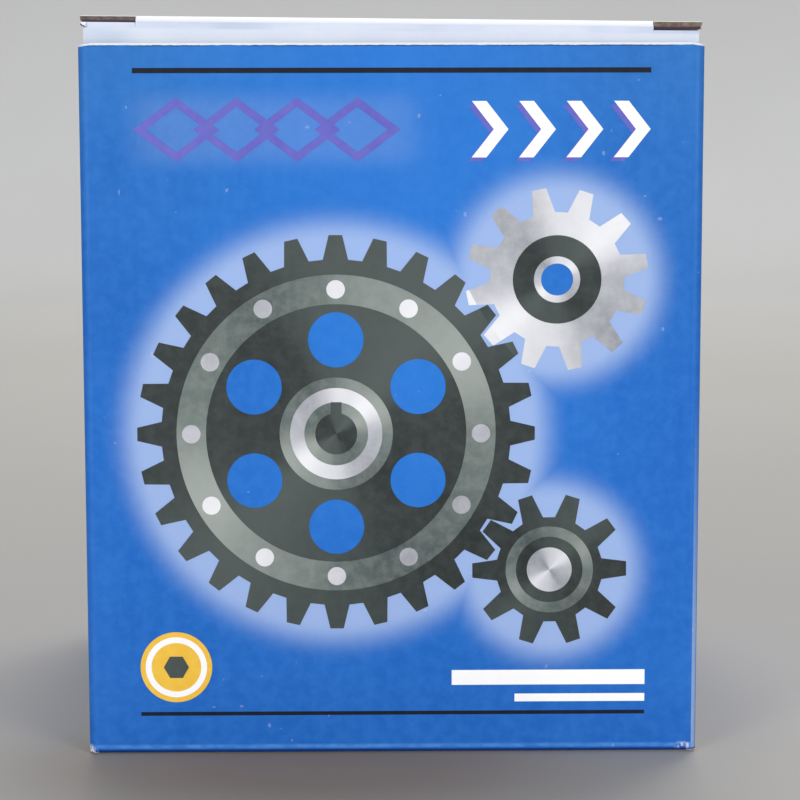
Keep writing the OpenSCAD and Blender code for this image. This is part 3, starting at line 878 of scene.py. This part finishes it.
def addCartonCreases():
    # Centre, start, axis, turn and span of each crease; the upright ones begin above the rounded foot
    low, middle = creaseRadius, board["thickness"] / 2
    creases = [((foldX, foldY, 0), yAxis, zAxis, -90, (low, sideTop)),
               ((foldX, -foldY, 0), xAxis, zAxis, -90, (low, cutTop)),
               ((-foldX, -foldY, 0), -yAxis, zAxis, -90, (low, cutTop)),
               ((-foldX, carton["backFold"], 0), -xAxis, zAxis, -90, (carton["lapLow"], sideTop))]
    for sign in (1, -1):
        for root, turn, front, back, *_ in sideFlaps(middle):
            creases.append(((sign * foldX, 0, root), sign * xAxis, yAxis, turn * sign, (front, back)))
        creases.append(((0, sign * foldY, creaseRadius), sign * yAxis, xAxis, -90 * sign,
                        (-foldX, foldX)))
    return [addFold(Vector(centre), start, axis, turn, span, middle, coreThickness)
            for centre, start, axis, turn, span in creases]


cartonLiner = thicken(foldCarton("carton_outer_liner", outerDepth), board["liner"])
cartonInside = thicken(foldCarton("carton_inner_liner", innerDepth), board["liner"])
cartonFlutes = joinAll("carton_flutes", layCartonFlutes())
cartonCreases = joinAll("carton_creases", addCartonCreases())
startEditing(cartonCreases)
cutCornerFalls(fill=True)
cartonWhite = whiteMaterial("carton_white", cartonEdgeZone, printing["bareColour"])
for piece, slot, material in (
        (cartonLiner, "white_board", cartonWhite), (cartonInside, "kraft_board", kraft),
        (cartonFlutes, "kraft_board", fluting), (cartonCreases, "kraft_board", fluting)):
    finishPiece(piece, "carton", "carton_body", material)

# Lid
lid = {
    "ajar": 1.75,  # degrees by which it stands open at rest
    "twist": 0.64,  # degrees by which its front edge slopes
    "sideGap": 0.5 * mm,
    "front": -70.4 * mm,
    "lean": 5.85,  # degrees by which the tuck flap leans back
    "leftSlit": 13.3 * mm,
    "rightSlit": 11.8 * mm,
    "tuckLength": 20 * mm,
    "shoulder": halfWidth - 1.2 * mm,
    "shoulderLength": 4.2 * mm,
    "inside": 70.4 * mm,
    "taper": 2.5 * mm,
    "corner": 9 * mm,
    "flapStart": 0.3 * mm,  # from the end of the fold to where the flap counts as flat
    "hingeSteps": 36,
    "slitEnd": 0.15 * mm,  # width of a slit beside the fold
    "slitRim": 0.3 * mm,  # ragged rim of a slit's cut edge
    "slitDepth": 0.75 * mm,  # from the cut edge to the first whole flute
    "slitDroop": 0.19 * mm,  # how far the pressed ends of the closure hang
    "fluteDroop": 0.7,  # share of it for the flutes
    "slitPieces": 24,
    "slitRough": 0.08 * mm,
    "leftSetBack": 0.3 * mm,  # of the left cut edge behind the right one
    "leftLip": 0.42 * mm,  # white liner of the left shoulder, standing in front of the cut edge
    "leftRise": 0.42 * mm,  # how far each shoulder is pushed up under the closure
    "rightRise": 0.22 * mm,
    "chipHeight": 1.5 * mm,  # crushed corner at the outer end of each slit
    "chipDepth": 1.8 * mm,
    "leftChip": 1.2 * mm,
    "rightChip": 0.7 * mm,
}
flake = {
    "y": -70.66 * mm,
    "left": -71.75 * mm,
    "right": -70.6 * mm,
    "top": 168.1 * mm,
    "low": 166.5 * mm,
    "tornFrom": 167.35 * mm,
    "bend": 167.5 * mm,
    "rim": 0.28 * mm,  # torn edge without its white face
    "curl": 0.3 * mm,  # how far its lower part stands forward
    "tornWay": (-0.7, 0, -1.2),
    "rightWay": (1, 0, -0.13),
}
foldBack = lid["front"] + creaseRadius
foldLevel = lidTop - creaseRadius
slitLeft, slitRight = -halfWidth + lid["leftSlit"], halfWidth - lid["rightSlit"]
lidSide = halfWidth - lid["sideGap"]
foldCentre, hingeCentre = Vector((0, foldBack, foldLevel)), Vector((0, foldY, foldLevel))
leaning = Matrix.Rotation(radians(lid["lean"]), 3, xAxis)
down = leaning @ -zAxis  # along the tuck flap


def tuckOutline():
    low, inside = -lid["tuckLength"], lid["inside"]
    return [(inside, -lid["shoulderLength"], 0), (-inside, -lid["shoulderLength"], 0),
            (-inside + lid["taper"], low, lid["corner"]), (inside - lid["taper"], low, lid["corner"])]


def cutChip(test, side, width):
    # The crushed corner at the outer end of a slit
    height, depth = lid["chipHeight"], lid["chipDepth"]
    cut(test, (side * lidSide, lid["front"], lidTop - board["liner"]),
        Vector((side * height * depth, -width * height, -width * depth)).normalized())


def foldLid(name, depth):
    # One layer of the closure and the tuck flap, with a lock slit at each end of the fold between them
    radius, z = creaseRadius - depth, lidTop - depth
    lip = lid["leftLip"] if depth == outerDepth else 0
    sheet = addPanel(name, (-lidSide, foldBack, z), (lidSide, foldY - board["hingeLead"], z))
    startEditing(sheet)
    for x in (slitLeft - lid["slitEnd"], slitLeft, slitRight, slitRight + lid["slitEnd"]):
        cut(everything, (x, 0, 0), xAxis, drop=False)
    for edge, side, setBack, chip in ((slitLeft, -1, lid["leftSetBack"], lid["leftChip"]),
                                      (slitRight, 1, 0, lid["rightChip"])):
        def onEnd(m):
            return (m.x - edge) * side > lid["slitEnd"] and m.y < foldBack + sliver
        pick("EDGE", onEnd)
        extrude((0, setBack + lid["slitRim"] - creaseRadius, 0))
        shift((0, 0, -lid["slitDroop"]))
        cutChip(onEnd, side, chip)
    pick("EDGE", lambda m: near(m.y, foldBack) and near(m.z, z) and slitLeft < m.x < slitRight)
    turnEdge(xAxis, 90 + lid["lean"], foldCentre)
    extrude(down * lid["tuckLength"])
    end = foldCentre + leaning @ -yAxis * radius

    def onFlap(m):
        return m.z < foldLevel and (m - end).dot(down) > lid["flapStart"]

    cut(onFlap, end + down * lid["shoulderLength"], down, drop=False)
    for edge, side, rise in ((slitLeft, -1, lid["leftRise"] + lip), (slitRight, 1, lid["rightRise"])):
        pick("EDGE", lambda m: near(m.x, edge) and onFlap(m))
        extrude((side * lid["inside"] - edge, 0, 0))
        pick("EDGE", lambda m: near(m.x, side * lid["inside"]) and onFlap(m)
             and (m - end).dot(down) < lid["shoulderLength"])
        extrude((side * (lid["shoulder"] - lid["inside"]), 0, 0))
        cut(lambda m: onFlap(m) and m.x * side > edge * side, (edge + side * lid["slitEnd"], 0, 0),
            xAxis, drop=False)
        pick("VERT", lambda m: m.x * side > edge * side + 0.1 * mm and m.z < foldLevel
             and (m - end).dot(down) < lid["flapStart"])
        shift(-down * rise)
    trimTo(tuckOutline(), lambda u, v: end + xAxis * u - down * v,
           lambda m: onFlap(m) and (m - end).dot(down) > lid["shoulderLength"])
    return sheet


def layLidFlutes():
    middle, crushed = board["thickness"] / 2, board["crushed"]
    z = lidTop - middle
    closure = layFlutes((-lidSide, lid["front"], z), (lidSide, foldY - crushed, z), 1)
    left, right = slitLeft - lid["slitEnd"], slitRight + lid["slitEnd"]
    cut(everything, (left, 0, 0), xAxis, drop=False)
    cut(everything, (right, 0, 0), xAxis, drop=False)
    cut(lambda m: left < m.x < right, (0, foldBack + crushed, 0), -yAxis)
    cut(lambda m: m.x < left or m.x > right, (0, lid["front"] + lid["slitDepth"], 0), -yAxis)
    cut(lambda m: m.x < left or m.x > right, (0, foldBack, 0), -yAxis, drop=False)
    pick("VERT", lambda m: m.y < lid["front"] + lid["slitDepth"] + sliver)
    shift((0, 0, -lid["slitDroop"] * lid["fluteDroop"]))
    cutChip(lambda m: m.x < left, -1, lid["leftChip"])
    cutChip(lambda m: m.x > right, 1, lid["rightChip"])
    y, shoulderLow = foldBack - creaseRadius + middle, foldLevel - lid["shoulderLength"]
    shoulder = layFlutes((-lid["shoulder"], y, shoulderLow), (lid["shoulder"], y, foldLevel), 2)
    cut(everything, (slitLeft, 0, 0), xAxis, drop=False)
    cut(everything, (slitRight, 0, 0), xAxis, drop=False)
    cut(lambda m: slitLeft < m.x < slitRight, (0, 0, foldLevel - crushed), zAxis)
    tuck = layFlutes((-lid["inside"], y, foldLevel - lid["tuckLength"]),
                     (lid["inside"], y, shoulderLow), 2)
    trimTo(tuckOutline(), lambda u, v: Vector((u, 0, foldLevel + v)), everything)
    for sheet in (shoulder, tuck):
        startEditing(sheet)
        selectAll()
        bpy.ops.transform.rotate(value=-radians(lid["lean"]), orient_axis="X", orient_type="GLOBAL",
                                 center_override=foldCentre)
    return [thicken(sheet, board["fluting"]) for sheet in (closure, shoulder, tuck)]


def addSlitEdge(start, end, setBack, side, chip):
    # Ragged rim of board along the cut of a lock slit, which closes the ends of the flutes
    inset = 0.02 * mm  # keeps it off the liners' faces
    low, high = lidTop - board["thickness"] + inset, lidTop - inset
    middle = lid["front"] + setBack + lid["slitRim"] / 2
    strip = addPanel("slit_edge", (start, middle, low), (end, middle, high))
    startEditing(strip)
    selectAll()
    bpy.ops.mesh.subdivide(number_cuts=3)
    for step in range(1, lid["slitPieces"]):
        cut(everything, (start + (end - start) * step / lid["slitPieces"], 0, 0), xAxis, drop=False)
    margin = 0.1 * mm
    pick("VERT", lambda m: start + margin < m.x < end - margin and low + margin < m.z < high - margin)
    bpy.ops.transform.vertex_random(offset=lid["slitRough"], uniform=0.3, normal=0.6, seed=5)
    cutChip(everything, side, chip)
    selectAll()
    shift((0, 0, -lid["slitDroop"]))
    return thicken(strip, lid["slitRim"])


def addTornFlake():
    # A torn scrap of the white liner, hanging from the lid's front left corner
    left, right, top = flake["left"], flake["right"], flake["top"]
    corner, torn = Vector((left, flake["y"], flake["tornFrom"])), Vector(flake["tornWay"]).normalized()
    scrap = addPanel("torn_flake", (left, flake["y"], flake["low"]), (right, flake["y"], top))
    startEditing(scrap)
    cut(everything, corner, torn)
    cut(everything, (right, 0, top), Vector(flake["rightWay"]))
    cut(everything, corner - torn * flake["rim"], torn, drop=False)
    selectAll()
    bpy.ops.mesh.subdivide(number_cuts=3)
    pick("VERT", lambda m: m.z < flake["bend"])
    shift((0, -flake["curl"], 0))
    thicken(scrap, board["liner"])
    scrap.data.materials.append(tornWhite)
    scrap.data.materials.append(cutEdge)
    startEditing(scrap)
    # the torn rim takes the cut edge's material, which this low on the lid is wholly the painted slit
    # shade
    pick("FACE", lambda m: (m - corner).dot(torn) > -flake["rim"])
    scrap.active_material_index = 1
    bpy.ops.object.material_slot_assign()
    return scrap


def openLid(piece):
    # Twists a piece of the lid a little towards its front edge, then opens it about the hinge
    activate(piece)
    bpy.context.scene.cursor.location = hinge
    bpy.ops.object.origin_set(type="ORIGIN_CURSOR")
    twist = piece.modifiers.new("twist", "SIMPLE_DEFORM")
    twist.deform_method, twist.deform_axis = "TWIST", "Y"
    twist.angle = -radians(lid["twist"]) * piece.dimensions.y / (2 * halfDepth)
    bpy.ops.object.modifier_apply(modifier=twist.name)
    piece.rotation_euler.x = -radians(lid["ajar"])
    bpy.ops.object.transform_apply(location=True, rotation=True, scale=True)


def addHingeCrease():
    # The three layers of the crease at the back, with the lid's half turned open as far as the lid
    # stands at rest
    layers = []
    for depth, thickness, material in ((outerDepth, board["liner"], lidWhite),
                                       (board["thickness"] / 2, coreThickness, fluting),
                                       (innerDepth, board["liner"], kraft)):
        layer = addFold(hingeCentre, yAxis, xAxis, 90, (-lidSide, foldX), depth, thickness,
                        lid["hingeSteps"], board["hingeLead"])
        layer.data.materials.append(material)
        layers.append(layer)
    crease = joinAll("hinge_crease", layers)
    startEditing(crease)
    pick("VERT", lambda m: m.z - foldLevel > m.y - foldY)
    bpy.ops.transform.rotate(value=radians(lid["ajar"]), orient_axis="X", orient_type="GLOBAL",
                             center_override=hinge)
    clearSelection()
    return crease


# the fold's paler white is a painted highlight, and the grey zone is painted shade
lidWhite = whiteMaterial("lid_white", lidFoldHighlight, srgb(239, 242, 250), lidPaintedShade)
tornWhite = whiteMaterial("torn_white", lambda r: r.between(r.noise(400), 0.3, 0.5),
                          srgb(243, 246, 251))
# darker browns than the liner: partly the crushed board's own colour, partly painted shade of the
# flute hollows that the strip closes
cutEdge = kraftMaterial("kraft_cut_edge", srgb(138, 124, 104), srgb(86, 75, 68),
                        stretch=(0.7, 1, 1.6), shadeZone=slitShadeZone)
lidLiner = thicken(foldLid("lid_outer_liner", outerDepth), board["liner"])
lidInside = thicken(foldLid("lid_inner_liner", innerDepth), board["liner"])
lidCore = addFold(foldCentre, zAxis, xAxis, 90 + lid["lean"], (slitLeft, slitRight),
                  board["thickness"] / 2, coreThickness)
lidFlutes = joinAll("lid_flutes", layLidFlutes() + [lidCore])
slitEdges = joinAll("lid_slit_edges", [
    addSlitEdge(-lidSide, slitLeft - lid["slitEnd"], lid["leftSetBack"], -1, lid["leftChip"]),
    addSlitEdge(slitRight + lid["slitEnd"], lidSide, 0, 1, lid["rightChip"])])
tornFlake = addTornFlake()
for piece, slot, material in (
        (lidLiner, "white_board", lidWhite), (lidInside, "kraft_board", kraft),
        (lidFlutes, "kraft_board", fluting), (slitEdges, "kraft_board", cutEdge),
        (tornFlake, "white_board", None)):
    openLid(piece)
    finishPiece(piece, "lid", "lid", material)
hingeCrease = addHingeCrease()
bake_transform(hingeCrease)
print("hinge:", hingeCrease.name, len(hingeCrease.data.polygons))
bpy.data.objects.remove(wave)

# Studio
studio = {
    "radius": 1.7,
    "bend": 0.45,
    "height": 0.9,
    "bendSteps": 10,
    # from the front to the back of the floor
    "tones": [(0.07, srgb(184, 181, 176)), (0.256, srgb(186, 182, 175)), (0.322, srgb(178, 175, 170)),
              (0.61, srgb(180, 178, 173)), (0.955, srgb(189, 189, 189))],
    "clouds": srgb(160, 158, 154),
    # a painted shadow, warm-toned, in front of the carton's foot
    "shadePlace": (-0.018, -0.085),
    "shadeFade": (0.055, 0.012),
    "shadeColour": srgb(134, 108, 84),
    "air": srgb(232, 236, 242),
    "airStrength": 0.42,
}
lamps = {
    # place, aim, size and power
    "window": ((0.24, 1.2, 2.0), (0, 0, 0.1), 1.4, 38),
    "left_fill": ((-0.78, -1.2, 0.28), (0, 0, 0.08), 0.5, 9),
    "right_fill": ((0.78, -1.2, 0.28), (0, 0, 0.08), 0.5, 9),
}


def addStudio():
    # A round floor that curves up into a low wall, so that no view shows a corner
    clearSelection()
    floorRadius = studio["radius"] - studio["bend"]
    bpy.ops.mesh.primitive_circle_add(vertices=96, radius=studio["radius"],
                                      location=(0, 0, studio["height"]))
    floor = bpy.context.object
    floor.name = "studio_floor"
    bpy.ops.object.transform_apply(location=True)
    startEditing(floor)
    selectAll()
    extrude((0, 0, studio["bend"] - studio["height"]))
    reach, height = studio["radius"], studio["bend"]
    for step in range(1, studio["bendSteps"] + 1):
        angle = pi / 2 * step / studio["bendSteps"]
        nextReach = floorRadius + studio["bend"] * cos(angle)
        nextHeight = studio["bend"] * (1 - sin(angle))
        extrude((0, 0, nextHeight - height))
        share = nextReach / reach
        bpy.ops.transform.resize(value=(share, share, 1), center_override=(0, 0, 0))
        reach, height = nextReach, nextHeight
    bpy.ops.mesh.edge_face_add()
    selectAll()
    bpy.ops.mesh.normals_make_consistent(inside=True)
    activate(floor)
    bpy.ops.object.shade_smooth()
    r = Recipe("studio_paper", roughness=0.9, specular=0.1)
    x, y, _ = r.axes()
    tone = r.ramp(r.between(y, -0.6, 1.6, smooth=False), *studio["tones"])
    shadeX, shadeY = studio["shadePlace"]
    sideways, forward = r.times(r.math("SUBTRACT", x, shadeX), 0.6), r.math("SUBTRACT", y, shadeY)
    away = r.math("SQRT", r.math("ADD", r.times(sideways, sideways), r.math("POWER", forward, 2)))
    # painted shadow in front of the carton's foot
    tone = r.mix(r.times(r.between(away, *studio["shadeFade"]), 0.62), tone, studio["shadeColour"])
    tone = r.mix(r.times(r.between(r.noise(3.5, 4), 0.3, 0.7), 0.12), tone, studio["clouds"])
    floor.data.materials.append(r.finish(tone))


addStudio()


def addLamp(name, place, aim, size, power):
    clearSelection()
    place = Vector(place)
    bpy.ops.object.light_add(type="AREA", location=place)
    lamp = bpy.context.object
    lamp.name, lamp.data.size, lamp.data.energy = name, size, power
    lamp.visible_camera = False
    lamp.rotation_mode = "QUATERNION"
    lamp.rotation_quaternion = (Vector(aim) - place).to_track_quat("-Z", "Y")


for lampName, settings in lamps.items():
    addLamp(lampName, *settings)
world = bpy.data.worlds.new("studio_air")
bpy.context.scene.world = world
world.use_nodes = True
air = world.node_tree.nodes["Background"].inputs
air["Color"].default_value, air["Strength"].default_value = studio["air"], studio["airStrength"]
print("studio:", len(lamps), "lamps")

# Camera, fitted to the edges of the front panel
view = {
    "place": (-0.00687, -0.67799, 0.16543),
    "yaw": -0.817,
    "pitch": -7.544,
    "roll": 0.076,
    "focalPixels": 2600,
    "pictureWidth": 800,
    "sensor": 36,
}
clearSelection()
bpy.ops.object.camera_add()
camera = bpy.context.object
camera.data.sensor_width = view["sensor"]
camera.data.lens = view["focalPixels"] * view["sensor"] / view["pictureWidth"]
camera.data.clip_start, camera.data.clip_end = 0.02, 20
turned = (Matrix.Rotation(radians(view["yaw"]), 4, "Z")
          @ Matrix.Rotation(radians(90 + view["pitch"]), 4, "X")
          @ Matrix.Rotation(radians(-view["roll"]), 4, "Z"))
camera.matrix_world = Matrix.Translation(view["place"]) @ turned
bpy.context.scene.camera = camera
bpy.context.scene.view_settings.view_transform = "Standard"

print("done")
